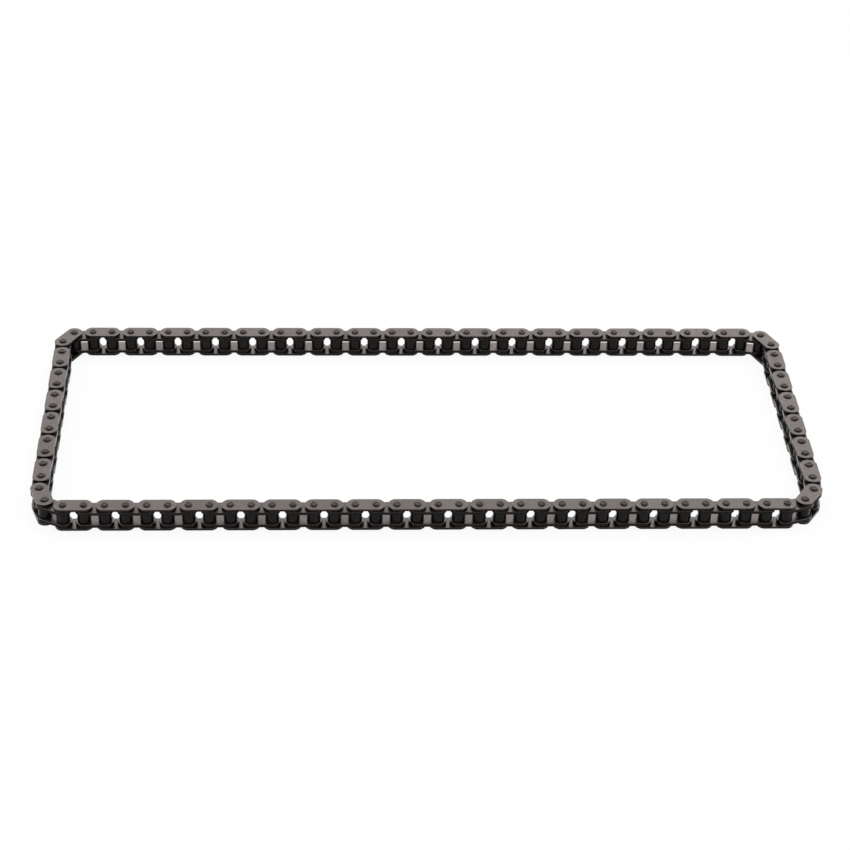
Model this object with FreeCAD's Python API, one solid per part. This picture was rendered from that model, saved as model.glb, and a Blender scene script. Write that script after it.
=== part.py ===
import FreeCAD, Part
import math
import os

# Timing chain: an endless simplex roller chain of 104 pitches, laid on its side in a long loop.
# Every pin stands upright and the chain rests on the lower pin ends. +X runs along the front run,
# +Y across the loop and +Z along the pins. The origin is at the middle of the loop's footprint.
# Lengths are millimetres, and headings are degrees from +X, going round the loop anticlockwise.

# Driving dimensions of a link
pitch = 9.525
plate_height = 7.90            # across the straight sides of a link plate
plate_end_bulge = 0.15         # rounded ends past half the plate's height, about the pin centres
outer_plate_thickness = 1.15
inner_plate_thickness = 1.55
inner_width = 5.42             # between the inner plates, where a sprocket tooth enters
pin_stand_out = 0.70           # riveted end past the outer plate
pin_end_spread = 0.16          # how far riveting has spread it, all round
pin_end_bevel = 0.30
bush_wall = 0.75
bush_stand_out = 0.50          # bush end past the inner plate
roller_diameter = 6.35
roller_wall = 0.705
roller_chamfer = 0.25

# Fits
pin_clearance = 0.04           # radial, pin in bush
roller_clearance = 0.04        # radial, bush in roller
roller_end_clearance = 0.06    # each end of a roller to the inner plate beside it
thrust_clearance = 0.05        # bush end to outer plate

# The loop: how many links lie in each stretch
long_run_pairs = 8             # outer and inner link pairs on each side of the middle of a long run
side_pairs = 6                 # pairs along each short side

# Headings of the links that turn each corner, as the loop lies
front_run_heading = 0.0
right_side_heading = 90.0
rear_run_heading = 180.0
left_side_heading = 270.0
front_right_corner_headings = [19.7, 55.0, 82.6]
rear_right_corner_headings = [115.4, 166.2]
rear_left_last_heading = 272.1
front_left_corner_headings = [289.8, 334.7]

# Sizes that follow
plate_end_radius = plate_height / 2 + plate_end_bulge
roller_bore = roller_diameter - 2 * roller_wall
bush_diameter = roller_bore - 2 * roller_clearance
bush_bore = bush_diameter - 2 * bush_wall
pin_diameter = bush_bore - 2 * pin_clearance
pin_end_diameter = pin_diameter + 2 * pin_end_spread
roller_length = inner_width - 2 * roller_end_clearance

# Heights of the stack of plates, from the lower pin ends up
lower_outer_plate_z = pin_stand_out
lower_bush_end_z = lower_outer_plate_z + outer_plate_thickness + thrust_clearance
lower_inner_plate_z = lower_bush_end_z + bush_stand_out
roller_z = lower_inner_plate_z + inner_plate_thickness + roller_end_clearance
upper_inner_plate_z = lower_inner_plate_z + inner_plate_thickness + inner_width
bush_length = upper_inner_plate_z + inner_plate_thickness + bush_stand_out - lower_bush_end_z
upper_outer_plate_z = lower_bush_end_z + bush_length + thrust_clearance
pin_length = upper_outer_plate_z + outer_plate_thickness + pin_stand_out


def unit(heading):
    """The unit vector along a heading."""
    angle = math.radians(heading)
    return FreeCAD.Vector(math.cos(angle), math.sin(angle), 0)


def closing_headings(others):
    """Headings of the two links that close the loop once all the other links are laid out."""
    gap = FreeCAD.Vector()
    for heading in others:
        gap -= unit(heading)
    middle = math.degrees(math.atan2(gap.y, gap.x)) % 360
    half_turn = math.degrees(math.acos(gap.Length / 2))
    return [middle - half_turn, middle + half_turn]


def pairs(name, heading, numbers):
    """Stretches of one outer and one inner link each, as (name, headings)."""
    return [(f"{name}_{number}", [heading, heading]) for number in numbers]


def front_run():
    inwards = range(long_run_pairs, 0, -1)
    outwards = range(1, long_run_pairs + 1)
    return [
        *pairs("front_left_links", front_run_heading, inwards),
        ("closing_link", [front_run_heading]),
        ("front_inner_link", [front_run_heading]),
        *pairs("front_right_links", front_run_heading, outwards),
        ("front_right_end_link", [front_run_heading]),
    ]


def right_side():
    return [
        ("front_right_corner_links", front_right_corner_headings),
        *pairs("right_side_links", right_side_heading, range(1, side_pairs + 1)),
        ("rear_right_corner_links", rear_right_corner_headings),
    ]


def rear_run():
    inwards = range(long_run_pairs, 0, -1)
    outwards = range(1, long_run_pairs + 1)
    return [
        *pairs("rear_right_links", rear_run_heading, inwards),
        ("rear_outer_link", [rear_run_heading]),
        ("rear_inner_link", [rear_run_heading]),
        *pairs("rear_left_links", rear_run_heading, outwards),
        ("rear_left_end_link", [rear_run_heading]),
    ]


def left_side(rear_left_corner_headings):
    return [
        ("rear_left_corner_links", rear_left_corner_headings),
        *pairs("left_side_links", left_side_heading, range(side_pairs, 0, -1)),
        ("front_left_corner_links", front_left_corner_headings),
    ]


def loop_stretches():
    """Every stretch of the loop in order, anticlockwise from its front left, as (name, headings)."""
    first = front_run() + right_side() + rear_run()
    last = left_side([rear_left_last_heading])
    known = [heading for _, headings in first + last for heading in headings]
    return first + left_side(closing_headings(known) + [rear_left_last_heading])


def plate_reach(angle):
    """How far a link plate reaches past a pin centre, at an angle to the plate's length."""
    half_height = plate_height / 2
    corner = math.sqrt(plate_end_radius**2 - half_height**2)
    sine = abs(math.sin(math.radians(angle)))
    cosine = abs(math.cos(math.radians(angle)))
    if sine * plate_end_radius <= half_height:
        return plate_end_radius
    return corner * cosine + half_height * sine


def lay_out(headings):
    """The pin centre at the start of each link, with the middle of the footprint at the origin."""
    pins = [FreeCAD.Vector()]
    for heading in headings:
        pins.append(pins[-1] + unit(heading) * pitch)
    xs = []
    ys = []
    for heading, start, end in zip(headings, pins, pins[1:]):
        along = plate_reach(heading)
        across = plate_reach(heading - right_side_heading)
        xs += [start.x - along, start.x + along, end.x - along, end.x + along]
        ys += [start.y - across, start.y + across, end.y - across, end.y + across]
    middle = FreeCAD.Vector(min(xs) + max(xs), min(ys) + max(ys), 0) / 2
    return [pin - middle for pin in pins[:-1]]


def link_plate(thickness, hole_diameter, z):
    """A stamped link plate: straight sides, rounded ends about both pin centres, and two holes."""
    half_height = plate_height / 2
    corner = math.sqrt(plate_end_radius**2 - half_height**2)
    left = -corner
    right = pitch + corner
    points = [
        FreeCAD.Vector(left, -half_height, z),
        FreeCAD.Vector(right, -half_height, z),
        FreeCAD.Vector(right, half_height, z),
        FreeCAD.Vector(left, half_height, z),
    ]
    left_tip = FreeCAD.Vector(-plate_end_radius, 0, z)
    right_tip = FreeCAD.Vector(pitch + plate_end_radius, 0, z)
    outline = Part.Wire([
        Part.LineSegment(points[0], points[1]).toShape(),
        Part.Arc(points[1], right_tip, points[2]).toShape(),
        Part.LineSegment(points[2], points[3]).toShape(),
        Part.Arc(points[3], left_tip, points[0]).toShape(),
    ])
    holes = [round_wire(x, hole_diameter, z) for x in (0, pitch)]
    blank = Part.Face([outline, *holes], "Part::FaceMakerBullseye")
    return blank.extrude(FreeCAD.Vector(0, 0, thickness))


def round_wire(x, diameter, z):
    circle = Part.Circle(FreeCAD.Vector(x, 0, z), FreeCAD.Vector(0, 0, 1), diameter / 2)
    return Part.Wire([circle.toShape()])


def turned(x, profile):
    """A solid turned about the upright axis at x, from its profile as (radius, height)."""
    points = [FreeCAD.Vector(radius, 0, z) for radius, z in profile]
    section = Part.Face(Part.makePolygon([*points, points[0]]))
    body = section.revolve(FreeCAD.Vector(), FreeCAD.Vector(0, 0, 1), 360)
    body.translate(FreeCAD.Vector(x, 0, 0))
    return body


def pin(x):
    """A solid pin through both outer plates, with a low spread end on each of them."""
    shank = pin_diameter / 2
    end = pin_end_diameter / 2
    return turned(x, [
        (0, 0),
        (end - pin_end_bevel, 0),
        (end, pin_end_bevel),
        (end, pin_stand_out),
        (shank, pin_stand_out),
        (shank, pin_length - pin_stand_out),
        (end, pin_length - pin_stand_out),
        (end, pin_length - pin_end_bevel),
        (end - pin_end_bevel, pin_length),
        (0, pin_length),
    ])


def bush(x):
    """A bush pressed through both inner plates, with its ends proud of them."""
    bore = bush_bore / 2
    outside = bush_diameter / 2
    top = lower_bush_end_z + bush_length
    return turned(x, [(bore, lower_bush_end_z), (outside, lower_bush_end_z), (outside, top), (bore, top)])


def roller(x):
    """A roller that turns on its bush, between the inner plates."""
    bore = roller_bore / 2
    outside = roller_diameter / 2
    top = roller_z + roller_length
    return turned(x, [
        (bore, roller_z),
        (outside - roller_chamfer, roller_z),
        (outside, roller_z + roller_chamfer),
        (outside, top - roller_chamfer),
        (outside - roller_chamfer, top),
        (bore, top),
    ])


def outer_link():
    """An outer link lying along +X from its first pin, as named groups of solids."""
    return {
        "bottom_plate": [link_plate(outer_plate_thickness, pin_diameter, lower_outer_plate_z)],
        "top_plate": [link_plate(outer_plate_thickness, pin_diameter, upper_outer_plate_z)],
        "pins": [pin(0), pin(pitch)],
    }


def inner_link():
    """An inner link lying along +X from its first pin, as named groups of solids."""
    return {
        "bottom_plate": [link_plate(inner_plate_thickness, bush_diameter, lower_inner_plate_z)],
        "top_plate": [link_plate(inner_plate_thickness, bush_diameter, upper_inner_plate_z)],
        "bushes": [bush(0), bush(pitch)],
        "left_roller": [roller(0)],
        "right_roller": [roller(pitch)],
    }


def place(link, start, heading):
    """The link's groups of solids, moved to a start pin and turned to a heading."""
    turn = FreeCAD.Rotation(FreeCAD.Vector(0, 0, 1), heading)
    where = FreeCAD.Placement(start, turn).toMatrix()
    return {name: [solid.transformed(where, True) for solid in solids] for name, solids in link.items()}


def save(node, solids):
    shape = solids[0] if len(solids) == 1 else Part.makeCompound(solids)
    shape.exportStep(f"parts/{node}.step")


# The two links in the middle of the front run are saved piece by piece, and the rest by stretch
split_stretches = ["closing_link", "front_inner_link"]

stretches = loop_stretches()
all_headings = [heading for _, headings in stretches for heading in headings]
pin_centres = lay_out(all_headings)

os.makedirs("parts", exist_ok=True)
link_kinds = [outer_link(), inner_link()]
number = 0
for name, headings in stretches:
    stretch_solids = []
    for heading in headings:
        link = place(link_kinds[number % 2], pin_centres[number], heading)
        number += 1
        if name in split_stretches:
            for piece, solids in link.items():
                save(f"{name}_{piece}", solids)
        for solids in link.values():
            stretch_solids += solids
    if name not in split_stretches:
        save(name, stretch_solids)
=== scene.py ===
import math

import bpy
from mathutils import Matrix, Vector


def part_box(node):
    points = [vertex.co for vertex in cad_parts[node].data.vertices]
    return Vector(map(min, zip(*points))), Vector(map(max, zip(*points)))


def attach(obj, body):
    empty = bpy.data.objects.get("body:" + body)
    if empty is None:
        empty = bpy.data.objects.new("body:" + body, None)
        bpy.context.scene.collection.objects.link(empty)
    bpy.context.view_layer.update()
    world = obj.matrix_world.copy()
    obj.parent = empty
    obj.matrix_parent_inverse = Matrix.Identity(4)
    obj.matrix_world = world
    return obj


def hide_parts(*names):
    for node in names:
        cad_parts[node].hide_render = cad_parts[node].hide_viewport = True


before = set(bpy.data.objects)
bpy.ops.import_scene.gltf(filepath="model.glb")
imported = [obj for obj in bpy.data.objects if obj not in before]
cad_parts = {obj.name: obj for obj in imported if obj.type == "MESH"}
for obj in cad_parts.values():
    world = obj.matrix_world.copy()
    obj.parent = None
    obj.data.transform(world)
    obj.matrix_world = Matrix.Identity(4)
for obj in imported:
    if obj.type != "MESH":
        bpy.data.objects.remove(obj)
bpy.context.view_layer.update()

# The line of the chain. It is an endless simplex roller chain of 104 pitches, set down on its side on
# its lower pin ends, so the line is the row of pin centres, going round the loop anticlockwise from
# the front left. Outer and inner links take turns along it.
MM = 0.001
PITCH = 9.525 * MM
PIN_END_DIAMETER = 3.60 * MM
LONG_RUN_PAIRS = 8  # an outer and an inner link each, on each side of a long run's middle
SIDE_PAIRS = 6

# Headings are in degrees from +X.
FRONT_RUN = 0
RIGHT_SIDE = 90
REAR_RUN = 180
LEFT_SIDE = 270
FRONT_RIGHT_CORNER = [19.7, 55.0, 82.6]
REAR_RIGHT_CORNER = [115.4, 166.2]
REAR_LEFT_LAST = 272.1
FRONT_LEFT_CORNER = [289.8, 334.7]


def along(heading):
    """A step of one pitch along a heading."""
    return PITCH * Vector((math.cos(math.radians(heading)), math.sin(math.radians(heading)), 0))


def pairs(name, heading, numbers):
    """Stretches of one outer and one inner link each, as (body, headings)."""
    return [(f"{name}_{number}", [heading, heading]) for number in numbers]


def closing_headings(others):
    """The headings of the two links that close the loop once the others are laid out."""
    gap = -sum((along(heading) for heading in others), Vector())
    middle = math.degrees(math.atan2(gap.y, gap.x)) % 360
    half_turn = math.degrees(math.acos(gap.length / PITCH / 2))
    return [middle - half_turn, middle + half_turn]


inwards = range(LONG_RUN_PAIRS, 0, -1)
outwards = range(1, LONG_RUN_PAIRS + 1)
first_part = [
    *pairs("front_left_links", FRONT_RUN, inwards),
    ("closing_link", [FRONT_RUN]),
    ("front_inner_link", [FRONT_RUN]),
    *pairs("front_right_links", FRONT_RUN, outwards),
    ("front_right_end_link", [FRONT_RUN]),
    ("front_right_corner_links", FRONT_RIGHT_CORNER),
    *pairs("right_side_links", RIGHT_SIDE, range(1, SIDE_PAIRS + 1)),
    ("rear_right_corner_links", REAR_RIGHT_CORNER),
    *pairs("rear_right_links", REAR_RUN, inwards),
    ("rear_outer_link", [REAR_RUN]),
    ("rear_inner_link", [REAR_RUN]),
    *pairs("rear_left_links", REAR_RUN, outwards),
    ("rear_left_end_link", [REAR_RUN]),
]
last_part = [
    *pairs("left_side_links", LEFT_SIDE, range(SIDE_PAIRS, 0, -1)),
    ("front_left_corner_links", FRONT_LEFT_CORNER),
]
known = [heading for _, headings in first_part + last_part for heading in headings]
rear_left_corner = closing_headings(known + [REAR_LEFT_LAST]) + [REAR_LEFT_LAST]
stretches = first_part + [("rear_left_corner_links", rear_left_corner)] + last_part

links = {}  # body: [(place of the link's first pin, heading, whether it is an inner link)]
start = Vector()
is_inner = False
for body, headings in stretches:
    links[body] = []
    for heading in headings:
        links[body].append((start.copy(), heading, is_inner))
        start += along(heading)
        is_inner = not is_inner

# The closing link's pins give the place of the whole line on the frame.
low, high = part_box("closing_link_pins")
left_pin = Vector((low[0] + PIN_END_DIAMETER / 2, (low[1] + high[1]) / 2, 0))
shift = left_pin - links["closing_link"][0][0]
for body, row in links.items():
    links[body] = [(place + shift, heading, inner) for place, heading, inner in row]


# How the pieces repeat. Every link carries two of each of its pieces, such as an upper and a lower
# plate, or a pin at each end. One tree sets both copies of up to two kinds of piece on each link.
LOTS = ("First", "Second")
LOT_INPUTS = (
    ("piece", "Object"),
    ("on inner links", "Bool"),
    ("copies", "Int"),
    ("step between copies", "Vector"),
    ("finish", "Material"),
)
SHADE_SCATTER = (5471, 8353)  # so large that the shades of neighbouring links seem random


def node(tree, kind, settings=None, **inputs):
    """Adds a node. Settings are its own, and an input is a value or the socket that feeds it.

    An input goes by its name, or by its number after an underscore."""
    made = tree.nodes.new(kind)
    for key, value in (settings or {}).items():
        setattr(made, key, value)
    for key, value in inputs.items():
        socket = made.inputs[int(key[1:])] if key[1:].isdigit() else made.inputs[key.replace("_", " ")]
        if isinstance(value, bpy.types.NodeSocket):
            tree.links.new(value, socket)
        else:
            socket.default_value = value
    return made


def in_scene(name, data):
    """A new object, placed in the scene."""
    made = bpy.data.objects.new(name, data)
    bpy.context.scene.collection.objects.link(made)
    return made


def chain_line(name, row):
    """Points at the first pin of each link, with the link's heading, kind and its own shade."""
    mesh = bpy.data.meshes.new(name)
    mesh.from_pydata([place for place, _, _ in row], [], [])
    over_x, over_y = SHADE_SCATTER
    values = {
        "heading": ("FLOAT", [math.radians(heading) for _, heading, _ in row]),
        "inner": ("BOOLEAN", [inner for _, _, inner in row]),
        "batch": ("FLOAT", [math.sin(place.x * over_x + place.y * over_y) / 2 + 0.5 for place, _, _ in row]),
    }
    for key, (kind, numbers) in values.items():
        mesh.attributes.new(key, kind, "POINT").data.foreach_set("value", numbers)
    return in_scene(name, mesh)


tree = bpy.data.node_groups.new("pieces on links", "GeometryNodeTree")
sockets = {}
tree.interface.new_socket("Line", in_out="INPUT", socket_type="NodeSocketGeometry")
for lot in LOTS:
    for key, kind in LOT_INPUTS:
        name = f"{lot} {key}"
        sockets[name] = tree.interface.new_socket(name, in_out="INPUT", socket_type=f"NodeSocket{kind}")
tree.interface.new_socket("Pieces", in_out="OUTPUT", socket_type="NodeSocketGeometry")
given = tree.nodes.new("NodeGroupInput").outputs
link_heading = node(tree, "GeometryNodeInputNamedAttribute", {"data_type": "FLOAT"}, Name="heading")
link_kind = node(tree, "GeometryNodeInputNamedAttribute", {"data_type": "BOOLEAN"}, Name="inner")
turn = node(tree, "ShaderNodeCombineXYZ", Z=link_heading.outputs["Attribute"]).outputs[0]
gathered = node(tree, "GeometryNodeJoinGeometry")
for lot in reversed(LOTS):
    copies = node(
        tree, "GeometryNodeMeshLine",
        Count=given[f"{lot} copies"], Offset=given[f"{lot} step between copies"],
    ).outputs["Mesh"]
    shape = node(tree, "GeometryNodeObjectInfo", Object=given[f"{lot} piece"]).outputs["Geometry"]
    both = node(tree, "GeometryNodeInstanceOnPoints", Points=copies, Instance=shape).outputs[0]
    of_its_kind = node(
        tree, "FunctionNodeBooleanMath", {"operation": "XNOR"},
        _0=link_kind.outputs["Attribute"], _1=given[f"{lot} on inner links"],
    ).outputs[0]
    placed = node(
        tree, "GeometryNodeInstanceOnPoints",
        Points=given["Line"], Selection=of_its_kind, Instance=both, Rotation=turn,
    ).outputs[0]
    solid = node(tree, "GeometryNodeRealizeInstances", Geometry=placed).outputs[0]
    finished = node(tree, "GeometryNodeSetMaterial", Geometry=solid, Material=given[f"{lot} finish"])
    tree.links.new(finished.outputs[0], gathered.inputs[0])
result = tree.nodes.new("NodeGroupOutput")
tree.links.new(gathered.outputs[0], result.inputs[0])


def on_links(name, body, slot, row, *lots):
    """One plain mesh of pieces on a row of links, riding on a body.

    A lot is (piece, on inner links, copies, step, finish)."""
    line = chain_line(f"{name}_line", row)
    modifier = line.modifiers.new("pieces", "NODES")
    modifier.node_group = tree
    for lot, values in zip(LOTS, lots):
        for (key, _), value in zip(LOT_INPUTS, values):
            modifier[sockets[f"{lot} {key}"].identifier] = value
    bpy.context.view_layer.update()
    evaluated = line.evaluated_get(bpy.context.evaluated_depsgraph_get())
    mesh = bpy.data.meshes.new_from_object(evaluated)
    line.modifiers.remove(modifier)
    points = line.data
    bpy.data.objects.remove(line)
    bpy.data.meshes.remove(points)
    piece = in_scene(name, mesh)
    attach(piece, body)
    return piece


# Link plates. They are stamped from steel strip, hardened and then tumbled with grit, so the flats
# are satin grey with a brown cast. Painted shade darkens their upright sides, and the upper inner
# plates, which lie sunk between the outer plates, carry a little painted shade too. The outer plates
# are pressed on the pins' ends and the thicker inner plates on the bushes' ends.
PLATE_HEIGHT = 7.90 * MM
PLATE_END_BULGE = 0.15 * MM
OUTER_PLATE_THICKNESS = 1.15 * MM
INNER_PLATE_THICKNESS = 1.55 * MM
INNER_WIDTH = 5.42 * MM
TUMBLED_EDGE = 0.07 * MM
PIN_DIAMETER = 3.28 * MM
BUSH_DIAMETER = 4.86 * MM
PIN_STAND_OUT = 0.70 * MM
THRUST_CLEARANCE = 0.05 * MM
BUSH_STAND_OUT = 0.50 * MM
ARC_STEPS = 10
HOLE_STEPS = 12
SMOOTH_UP_TO = math.radians(35)
BLOTCH_SIZE = 2.5 * MM
BLOTCH_FADE = (0.35, 0.65)  # values of the noise between which a blotch comes in
BROWN_BLOTCH = "#574b44"
GRIT_SIZE = 0.35 * MM  # real tumbling marks are finer, and this is as coarse as they need to be to show
GRIT_DEPTH = 0.02 * MM

outer_plate_z = PIN_STAND_OUT
bush_z = outer_plate_z + OUTER_PLATE_THICKNESS + THRUST_CLEARANCE
inner_plate_z = bush_z + BUSH_STAND_OUT
bush_length = 2 * (BUSH_STAND_OUT + INNER_PLATE_THICKNESS) + INNER_WIDTH
outer_plate_rise = bush_length + 2 * THRUST_CLEARANCE + OUTER_PLATE_THICKNESS
inner_plate_rise = INNER_PLATE_THICKNESS + INNER_WIDTH


def pattern_piece(name, vertices, faces):
    """A piece that the tree copies. It is kept out of the picture."""
    mesh = bpy.data.meshes.new(name)
    mesh.from_pydata(vertices, [], faces)
    mesh.validate()
    for face in mesh.polygons:
        face.use_smooth = True
    mesh.set_sharp_from_angle(angle=SMOOTH_UP_TO)
    return bpy.data.objects.new(name, mesh)


def plate_outline(inset):
    """Points round a plate, anticlockwise from the lower right, moved in from its edge."""
    radius = PLATE_HEIGHT / 2 + PLATE_END_BULGE - inset
    half_height = PLATE_HEIGHT / 2 - inset
    reach = math.asin(half_height / radius)
    turns = [reach * (2 * step / ARC_STEPS - 1) for step in range(ARC_STEPS + 1)]
    right = [(PITCH + radius * math.cos(turn), radius * math.sin(turn)) for turn in turns]
    return right + [(PITCH - x, -y) for x, y in right]


def round_hole(centre, radius, z):
    """Points round a hole, anticlockwise from its right."""
    turns = [2 * math.pi * step / HOLE_STEPS for step in range(HOLE_STEPS)]
    return [(centre + radius * math.cos(turn), radius * math.sin(turn), z) for turn in turns]


def link_plate(name, thickness, hole, z):
    """A plate with softened edges and a hole at each pin. Each flat is two faces, split along its
    middle. Its rings of points are four round the outline, from the bottom up, and then the holes."""
    edge = TUMBLED_EDGE
    levels = ((edge, 0), (0, edge), (0, thickness - edge), (edge, thickness))
    rings = [[(x, y, z + height) for x, y in plate_outline(inset)] for inset, height in levels]
    rings += [round_hole(centre, hole / 2, z + height) for height in (0, thickness) for centre in (0, PITCH)]
    vertices = [point for ring in rings for point in ring]
    starts = [sum(len(ring) for ring in rings[:number]) for number in range(len(rings))]
    faces = []
    around = len(rings[0])
    outlines, lower_holes, upper_holes = starts[:4], starts[4:6], starts[6:]
    for lower, upper in zip(outlines, outlines[1:]):
        for step in range(around):
            after = (step + 1) % around
            faces.append([lower + step, lower + after, upper + after, upper + step])
    for lower, upper in zip(lower_holes, upper_holes):
        for step in range(HOLE_STEPS):
            after = (step + 1) % HOLE_STEPS
            faces.append([lower + after, lower + step, upper + step, upper + after])
    middle = ARC_STEPS // 2
    half = HOLE_STEPS // 2
    flats = (outlines[0], *lower_holes, False), (outlines[3], *upper_holes, True)
    for rim, left_hole, right_hole, top in flats:
        right_tip = rim + middle
        left_tip = rim + ARC_STEPS + 1 + middle
        upper = [
            *range(right_tip, left_tip + 1),
            *range(left_hole + half, left_hole - 1, -1),
            *range(right_hole + half, right_hole - 1, -1),
        ]
        lower = [
            *range(left_tip, rim + around), *range(rim, right_tip + 1),
            right_hole, *range(right_hole + HOLE_STEPS - 1, right_hole + half - 1, -1),
            left_hole, *range(left_hole + HOLE_STEPS - 1, left_hole + half - 1, -1),
        ]
        faces += [upper, lower] if top else [upper[::-1], lower[::-1]]
    return pattern_piece(name, vertices, faces)


def colour(text):
    """A linear colour from its sRGB hex value."""
    parts = [int(text[i:i + 2], 16) / 255 for i in (1, 3, 5)]
    return [v / 12.92 if v <= 0.04045 else ((v + 0.055) / 1.055) ** 2.4 for v in parts] + [1]


def material(name, **values):
    """A new material, its nodes and its shader, with some of the shader's inputs set."""
    made = bpy.data.materials.new(name)
    made.use_nodes = True
    shader = made.node_tree.nodes["Principled BSDF"]
    for key, value in values.items():
        shader.inputs[key.replace("_", " ")].default_value = value
    return made, made.node_tree, shader


def painted(nodes, base, *layers):
    """A base colour with others laid over it, one after another.

    A layer is (pattern, its lowest and highest value, the layer's share at each of them, colour)."""
    tone = colour(base)
    for pattern, (low, high), (low_share, high_share), over in layers:
        share = node(
            nodes, "ShaderNodeMapRange",
            Value=pattern, From_Min=low, From_Max=high, To_Min=low_share, To_Max=high_share,
        ).outputs[0]
        mix = node(nodes, "ShaderNodeMix", {"data_type": "RGBA"}, _0=share, _6=tone, _7=colour(over))
        tone = mix.outputs[2]
    return tone


def speckle(nodes, size, detail=3):
    """Noise in the object's own coordinates, with blotches of about the size given in metres."""
    place = node(nodes, "ShaderNodeTexCoord").outputs["Object"]
    return node(nodes, "ShaderNodeTexNoise", Vector=place, Scale=1 / size, Detail=detail).outputs[0]


def lying(nodes):
    """How flat a face lies: 1 where it faces straight up or down, and 0 where it stands upright."""
    facing = node(nodes, "ShaderNodeNewGeometry").outputs["Normal"]
    up = node(nodes, "ShaderNodeSeparateXYZ", _0=facing).outputs["Z"]
    return node(nodes, "ShaderNodeMath", {"operation": "ABSOLUTE"}, _0=up).outputs[0]


def plate_steel(name, flat, batch_flat, grit_and_shade, painted_side_shade, painted_recess_shade):
    """Stamped and tumbled steel: an even satin with faint blotches, and painted shade on its upright sides.

    Painted shade darkens the upper plates of a link by the share given, as the upper inner plates lie
    sunk between the outer plates."""
    made, nodes, shader = material(name, Metallic=0.95)
    batch = node(nodes, "ShaderNodeAttribute", {"attribute_name": "batch"}).outputs["Fac"]
    blotches = speckle(nodes, BLOTCH_SIZE)
    grit = speckle(nodes, GRIT_SIZE, 2)
    place = node(nodes, "ShaderNodeTexCoord").outputs["Object"]
    height = node(nodes, "ShaderNodeSeparateXYZ", _0=place).outputs["Z"]
    to_upper_plate = (inner_plate_rise, inner_plate_rise + inner_plate_z)
    tone = painted(
        nodes, flat,
        (batch, (0, 1), (0, 1), batch_flat),
        (blotches, BLOTCH_FADE, (0, 0.3), BROWN_BLOTCH),
        (grit, (0.62, 0.78), (0, 0.15), grit_and_shade),
        # painted shade: the upper plates, sunk between the outer plates, are darkened by the share given
        (height, to_upper_plate, (0, painted_recess_shade), grit_and_shade),
        # painted shade: faces that stand upright are darkened
        (lying(nodes), (0.1, 0.6), (1, 0), painted_side_shade),
    )
    nodes.links.new(tone, shader.inputs["Base Color"])
    roughness = node(
        nodes, "ShaderNodeMapRange",
        Value=blotches, From_Min=0.3, From_Max=0.7, To_Min=0.22, To_Max=0.32,
    )
    nodes.links.new(roughness.outputs[0], shader.inputs["Roughness"])
    bump = node(nodes, "ShaderNodeBump", Height=grit, Strength=0.06, Distance=GRIT_DEPTH)
    nodes.links.new(bump.outputs[0], shader.inputs["Normal"])
    return made


outer_plate = link_plate("outer_plate", OUTER_PLATE_THICKNESS, PIN_DIAMETER, outer_plate_z)
inner_plate = link_plate("inner_plate", INNER_PLATE_THICKNESS, BUSH_DIAMETER, inner_plate_z)
# In each finish the darkest colour is painted shade on the upright sides. The inner plates' share of the
# grit colour is painted shade on the sunk upper inner plates.
outer_plate_steel = plate_steel(
    "tumbled_outer_plate_steel",
    flat="#7a7472", batch_flat="#746e6c", grit_and_shade="#393533", painted_side_shade="#282320", painted_recess_shade=0,
)
inner_plate_steel = plate_steel(
    "tumbled_inner_plate_steel",
    flat="#837d7c", batch_flat="#7a7574", grit_and_shade="#3c3937", painted_side_shade="#1e1b19", painted_recess_shade=0.3,
)
outer_plates = (outer_plate, False, 2, (0, 0, outer_plate_rise), outer_plate_steel)
inner_plates = (inner_plate, True, 2, (0, 0, inner_plate_rise), inner_plate_steel)
for body, row in links.items():
    slot = "inner_plate_steel" if all(inner for _, _, inner in row) else "plate_steel"
    plates = on_links(f"{body}_plates", body, slot, row, outer_plates, inner_plates)
    if body in ("closing_link", "front_inner_link"):
        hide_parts(f"{body}_bottom_plate", f"{body}_top_plate")
    else:
        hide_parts(body)


# Pins. Each is a hardened steel pin pressed through two outer plates, and both its ends are spread
# by riveting, which leaves them domed and slightly dished. They are dark brown from heat, blotched
# lighter where worn. Painted shade makes them near black where their faces stand steep, round the
# rims of their ends and down their sides, which leaves their flat middles lighter.
PIN_STEPS = 16
PIN_END_PROFILE = [  # radius, and depth from the end of the pin
    (0, 0.11 * MM),
    (0.60 * MM, 0.10 * MM),
    (0.98 * MM, 0),
    (1.38 * MM, 0.06 * MM),
    (1.66 * MM, 0.21 * MM),
    (PIN_END_DIAMETER / 2, 0.45 * MM),
    (PIN_END_DIAMETER / 2, PIN_STAND_OUT),
    (PIN_DIAMETER / 2, PIN_STAND_OUT),
]
PIN_END_SPREAD = 0.36 * MM
PIN_END_POINTING = 4  # the higher it is, the nearer the spread keeps to the line across the plates
STAIN_SIZE = 0.9 * MM
DINT_SIZE = 0.5 * MM
DINT_DEPTH = 0.05 * MM
HEAT_BROWN = "#28221f"
WORN_BROWN = "#51473f"
# the colour of the painted shade on the pins' steep faces
PAINTED_RIM_SHADE = "#151412"


def turned(name, profile, steps):
    """A piece turned about the upright axis from (radius, height) points. It closes on the axis at
    an end whose radius is 0, and otherwise its last ring joins its first."""
    vertices, rings = [], []
    for radius, z in profile:
        if radius == 0:
            rings.append([len(vertices)] * steps)
            vertices.append((0, 0, z))
        else:
            rings.append(list(range(len(vertices), len(vertices) + steps)))
            turns = [2 * math.pi * step / steps for step in range(steps)]
            vertices += [(radius * math.cos(turn), radius * math.sin(turn), z) for turn in turns]
    open_inside = profile[0][0] > 0
    following = rings[1:] + rings[:1] if open_inside else rings[1:]
    faces = []
    for lower, upper in zip(rings, following):
        for step in range(steps):
            after = (step + 1) % steps
            corners = [lower[step], lower[after], upper[after], upper[step]]
            faces.append(list(dict.fromkeys(corners)))  # three corners where two meet on the axis
    return pattern_piece(name, vertices, faces)


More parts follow.
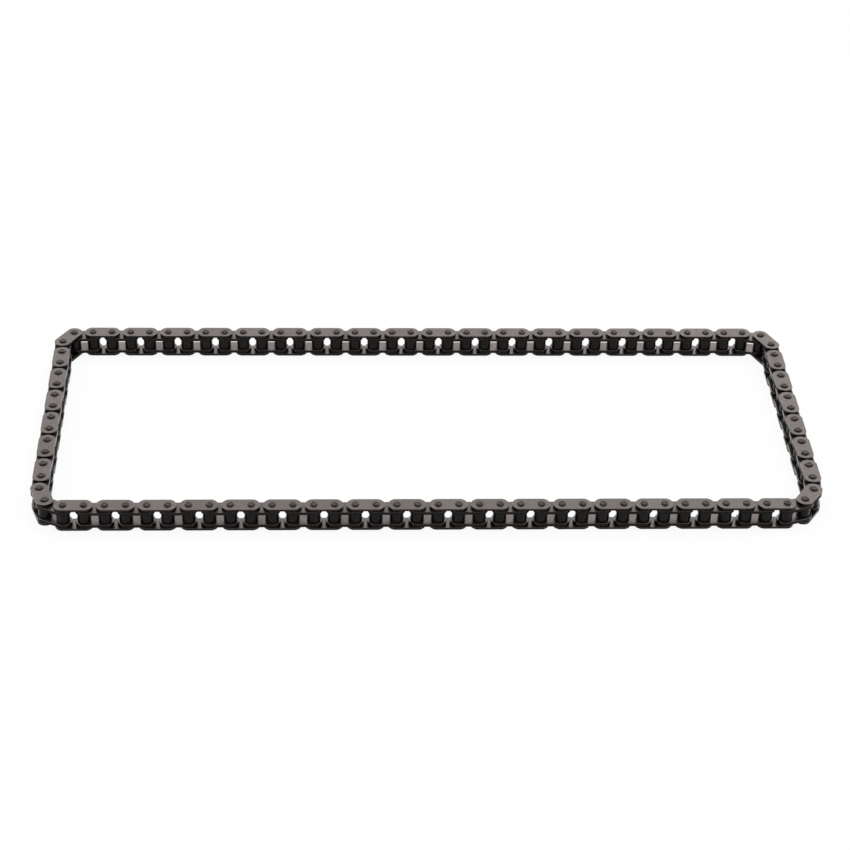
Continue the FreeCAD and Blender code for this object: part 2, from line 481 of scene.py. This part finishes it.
pin_length = 2 * PIN_STAND_OUT + outer_plate_rise + OUTER_PLATE_THICKNESS
upper_end = [(radius, pin_length - depth) for radius, depth in reversed(PIN_END_PROFILE)]
pin = turned("pin", PIN_END_PROFILE + upper_end, PIN_STEPS)
past_shank = (PIN_DIAMETER + PIN_END_DIAMETER) / 4  # a radius between the shank's and the ends'

# Riveting spreads the ends furthest across the plates.
for vertex in pin.data.vertices:
    x, y, z = vertex.co
    radius = math.hypot(x, y)
    if radius > past_shank:
        vertex.co.y += PIN_END_SPREAD * math.copysign((y / radius) ** PIN_END_POINTING, y)

pin_steel, nodes, shader = material("heat_browned_pin_steel", Metallic=0.7, Roughness=0.38)
tone = painted(
    nodes, HEAT_BROWN,
    (speckle(nodes, STAIN_SIZE), BLOTCH_FADE, (0, 1), WORN_BROWN),
    # painted shade: steep faces, round the rims of the ends and down the sides, are darkened to near black
    (lying(nodes), (0.65, 0.97), (0.95, 0), PAINTED_RIM_SHADE),
)
nodes.links.new(tone, shader.inputs["Base Color"])
dints = node(nodes, "ShaderNodeBump", Height=speckle(nodes, DINT_SIZE), Strength=0.3, Distance=DINT_DEPTH)
nodes.links.new(dints.outputs[0], shader.inputs["Normal"])

pins = (pin, False, 2, (PITCH, 0, 0), pin_steel)
for body, row in links.items():
    if not all(inner for _, _, inner in row):
        riveted = on_links(f"{body}_riveted_pins", body, "pin_steel", row, pins)
        if body == "closing_link":
            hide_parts("closing_link_pins")


# Bushes and rollers. A bush is a hardened steel tube pressed through two inner plates, round which
# a hardened roller turns. Both are near black and wet with oil.
ROLLER_DIAMETER = 6.35 * MM
ROLLER_BORE = 4.94 * MM
ROLLER_CHAMFER = 0.25 * MM
ROLLER_END_CLEARANCE = 0.06 * MM
BUSH_BORE = 3.36 * MM
BUSH_STEPS = 14
ROLLER_STEPS = 18
OIL_FILM_SIZE = 3 * MM


def clear_radius(bore, steps):
    """A bore's radius at the corners of its facets, whose flats keep clear of what turns in it."""
    return bore / 2 / math.cos(math.pi / steps)


bush_inside = clear_radius(BUSH_BORE, BUSH_STEPS)
bush = turned("bush", [
    (bush_inside, bush_z),
    (BUSH_DIAMETER / 2, bush_z),
    (BUSH_DIAMETER / 2, bush_z + bush_length),
    (bush_inside, bush_z + bush_length),
], BUSH_STEPS)
roller_inside = clear_radius(ROLLER_BORE, ROLLER_STEPS)
roller_z = inner_plate_z + INNER_PLATE_THICKNESS + ROLLER_END_CLEARANCE
roller_top = roller_z + INNER_WIDTH - 2 * ROLLER_END_CLEARANCE
roller = turned("roller", [
    (roller_inside, roller_z),
    (ROLLER_DIAMETER / 2 - ROLLER_CHAMFER, roller_z),
    (ROLLER_DIAMETER / 2, roller_z + ROLLER_CHAMFER),
    (ROLLER_DIAMETER / 2, roller_top - ROLLER_CHAMFER),
    (ROLLER_DIAMETER / 2 - ROLLER_CHAMFER, roller_top),
    (roller_inside, roller_top),
], ROLLER_STEPS)


def oiled_steel(name, thin_film, thick_film):
    """Hardened steel under a film of oil: near black, and blacker where the film is thick."""
    made, nodes, shader = material(name, Metallic=0.6, Roughness=0.32, Specular_IOR_Level=0.3)
    film = speckle(nodes, OIL_FILM_SIZE)
    tone = painted(nodes, thin_film, (film, BLOTCH_FADE, (0, 1), thick_film))
    nodes.links.new(tone, shader.inputs["Base Color"])
    return made


bush_steel = oiled_steel("oiled_bush_steel", thin_film="#2c2a29", thick_film="#1d1b1a")
roller_steel = oiled_steel("oiled_roller_steel", thin_film="#131211", thick_film="#0d0c0c")
bushes = (bush, True, 2, (PITCH, 0, 0), bush_steel)
rollers = (roller, True, 2, (PITCH, 0, 0), roller_steel)
for body, row in links.items():
    if body == "front_inner_link":
        pressed = on_links(f"{body}_pressed_bushes", body, "bush_steel", row, bushes)
        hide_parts("front_inner_link_bushes")
    elif any(inner for _, _, inner in row):
        on_links(f"{body}_rollers", body, "roller_steel", row, rollers, bushes)

# The front inner link's two rollers turn on their own.
place, heading, inner = links["front_inner_link"][0]
one_roller = (roller, True, 1, (PITCH, 0, 0), roller_steel)
for side, pin_place in (("left", place), ("right", place + along(heading))):
    row = [(pin_place, heading, inner)]
    turning = on_links(f"{side}_turning_roller", f"{side}_roller", "roller_steel", row, one_roller)
    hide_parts(f"front_inner_link_{side}_roller")


# The floor is plain white paper. The camera and the steel's reflections see it almost washed out,
# with a trace of the chain's shadow.
FLOOR_SIZE = 12
WASHED_OUT = 0.88
PAPER_GLOW = 1.02

edge = FLOOR_SIZE / 2
corners = [(-edge, -edge, 0), (edge, -edge, 0), (edge, edge, 0), (-edge, edge, 0)]
floor_mesh = bpy.data.meshes.new("floor")
floor_mesh.from_pydata(corners, [], [(0, 1, 2, 3)])
floor = in_scene("floor", floor_mesh)
white_paper, nodes, shader = material(
    "white_paper", Base_Color=colour("#fbfbfb"), Metallic=0, Roughness=0.9, Specular_IOR_Level=0,
)
glow = node(nodes, "ShaderNodeEmission", Color=(1, 1, 1, 1), Strength=PAPER_GLOW).outputs[0]
path = node(nodes, "ShaderNodeLightPath").outputs
shown = node(
    nodes, "ShaderNodeMath", {"operation": "MAXIMUM"},
    _0=path["Is Camera Ray"], _1=path["Is Glossy Ray"],
).outputs[0]
blown_out = node(nodes, "ShaderNodeMath", {"operation": "MULTIPLY"}, _0=shown, _1=WASHED_OUT).outputs[0]
page = node(nodes, "ShaderNodeMixShader", _0=blown_out, _1=shader.outputs[0], _2=glow).outputs[0]
nodes.links.new(page, nodes.nodes["Material Output"].inputs["Surface"])
floor_mesh.materials.append(white_paper)


# The room is white too. The steel mirrors it bright low down, which lights the plates' flats, dark
# overhead, brighter at the sides, and dimmer towards -Y, which darkens the front edges.
ROOM_GLOW = 0.75
LOW_GLOW = 1.75
OVERHEAD_GLOW = 0.1
SIDES_GLOW = 0.65
FRONT_SHARE = 0.65

world = bpy.data.worlds.new("white_room")
bpy.context.scene.world = world
world.use_nodes = True
nodes = world.node_tree
path = node(nodes, "ShaderNodeLightPath").outputs
way = node(nodes, "ShaderNodeTexCoord").outputs["Generated"]
way = node(nodes, "ShaderNodeSeparateXYZ", _0=way).outputs
aside = node(nodes, "ShaderNodeMath", {"operation": "ABSOLUTE"}, _0=way["X"]).outputs[0]
by_height = node(
    nodes, "ShaderNodeMapRange",
    Value=way["Z"], From_Min=0.3, From_Max=0.9, To_Min=LOW_GLOW, To_Max=OVERHEAD_GLOW,
).outputs[0]
by_side = node(
    nodes, "ShaderNodeMapRange",
    Value=aside, From_Min=0, From_Max=0.5, To_Min=0, To_Max=SIDES_GLOW,
).outputs[0]
by_depth = node(
    nodes, "ShaderNodeMapRange",
    Value=way["Y"], From_Min=-0.6, From_Max=0.3, To_Min=FRONT_SHARE, To_Max=1,
).outputs[0]
mirrored = node(nodes, "ShaderNodeMath", {"operation": "ADD"}, _0=by_height, _1=by_side).outputs[0]
mirrored = node(nodes, "ShaderNodeMath", {"operation": "MULTIPLY"}, _0=mirrored, _1=by_depth).outputs[0]
light = node(
    nodes, "ShaderNodeMix", {"data_type": "FLOAT"},
    _0=path["Is Glossy Ray"], _2=ROOM_GLOW, _3=mirrored,
).outputs[0]
backdrop = nodes.nodes["Background"]
nodes.links.new(light, backdrop.inputs["Strength"])
backdrop.inputs["Color"].default_value = (1, 1, 1, 1)

# A wide soft lamp hangs over the chain.
LAMP_PLACE = Vector((0.1, 0.3, 1.4))
LAMP_SIZE = 1.2
LAMP_POWER = 6

lamp = bpy.data.lights.new("overhead_lamp", "AREA")
lamp.shape = "DISK"
lamp.size = LAMP_SIZE
lamp.energy = LAMP_POWER
overhead = in_scene("overhead_lamp", lamp)
overhead.location = LAMP_PLACE
overhead.rotation_euler = (-LAMP_PLACE).to_track_quat("-Z", "Y").to_euler()


# The camera stands in front, a little to the left and about 35 degrees above the floor. Its place and
# lens come from the places of the pins in the photograph. Its angles are in degrees.
CAMERA_PLACE = (-55.371 * MM, -878.999 * MM, 625.604 * MM)
CAMERA_YAW = 3.6183
CAMERA_PITCH = 35.1395
CAMERA_ROLL = 2.0409
LENS_PIXELS = 2207.35
IMAGE_PIXELS = 850
NEAREST_SEEN = 0.01
FURTHEST_SEEN = 50

yaw, pitch, roll = (math.radians(angle) for angle in (CAMERA_YAW, CAMERA_PITCH, CAMERA_ROLL))
ahead = Vector((math.sin(yaw) * math.cos(pitch), math.cos(yaw) * math.cos(pitch), -math.sin(pitch)))
level = Vector((math.cos(yaw), -math.sin(yaw), 0))
above = level.cross(ahead)
right = math.cos(roll) * level + math.sin(roll) * above
upward = math.cos(roll) * above - math.sin(roll) * level
lens = bpy.data.cameras.new("camera")
lens.sensor_fit = "HORIZONTAL"
lens.lens = LENS_PIXELS * lens.sensor_width / IMAGE_PIXELS
lens.clip_start = NEAREST_SEEN
lens.clip_end = FURTHEST_SEEN
camera = in_scene("camera", lens)
facing = Matrix((right, upward, -ahead)).transposed().to_4x4()
camera.matrix_world = Matrix.Translation(CAMERA_PLACE) @ facing
bpy.context.scene.camera = camera
bpy.context.scene.view_settings.view_transform = "Standard"
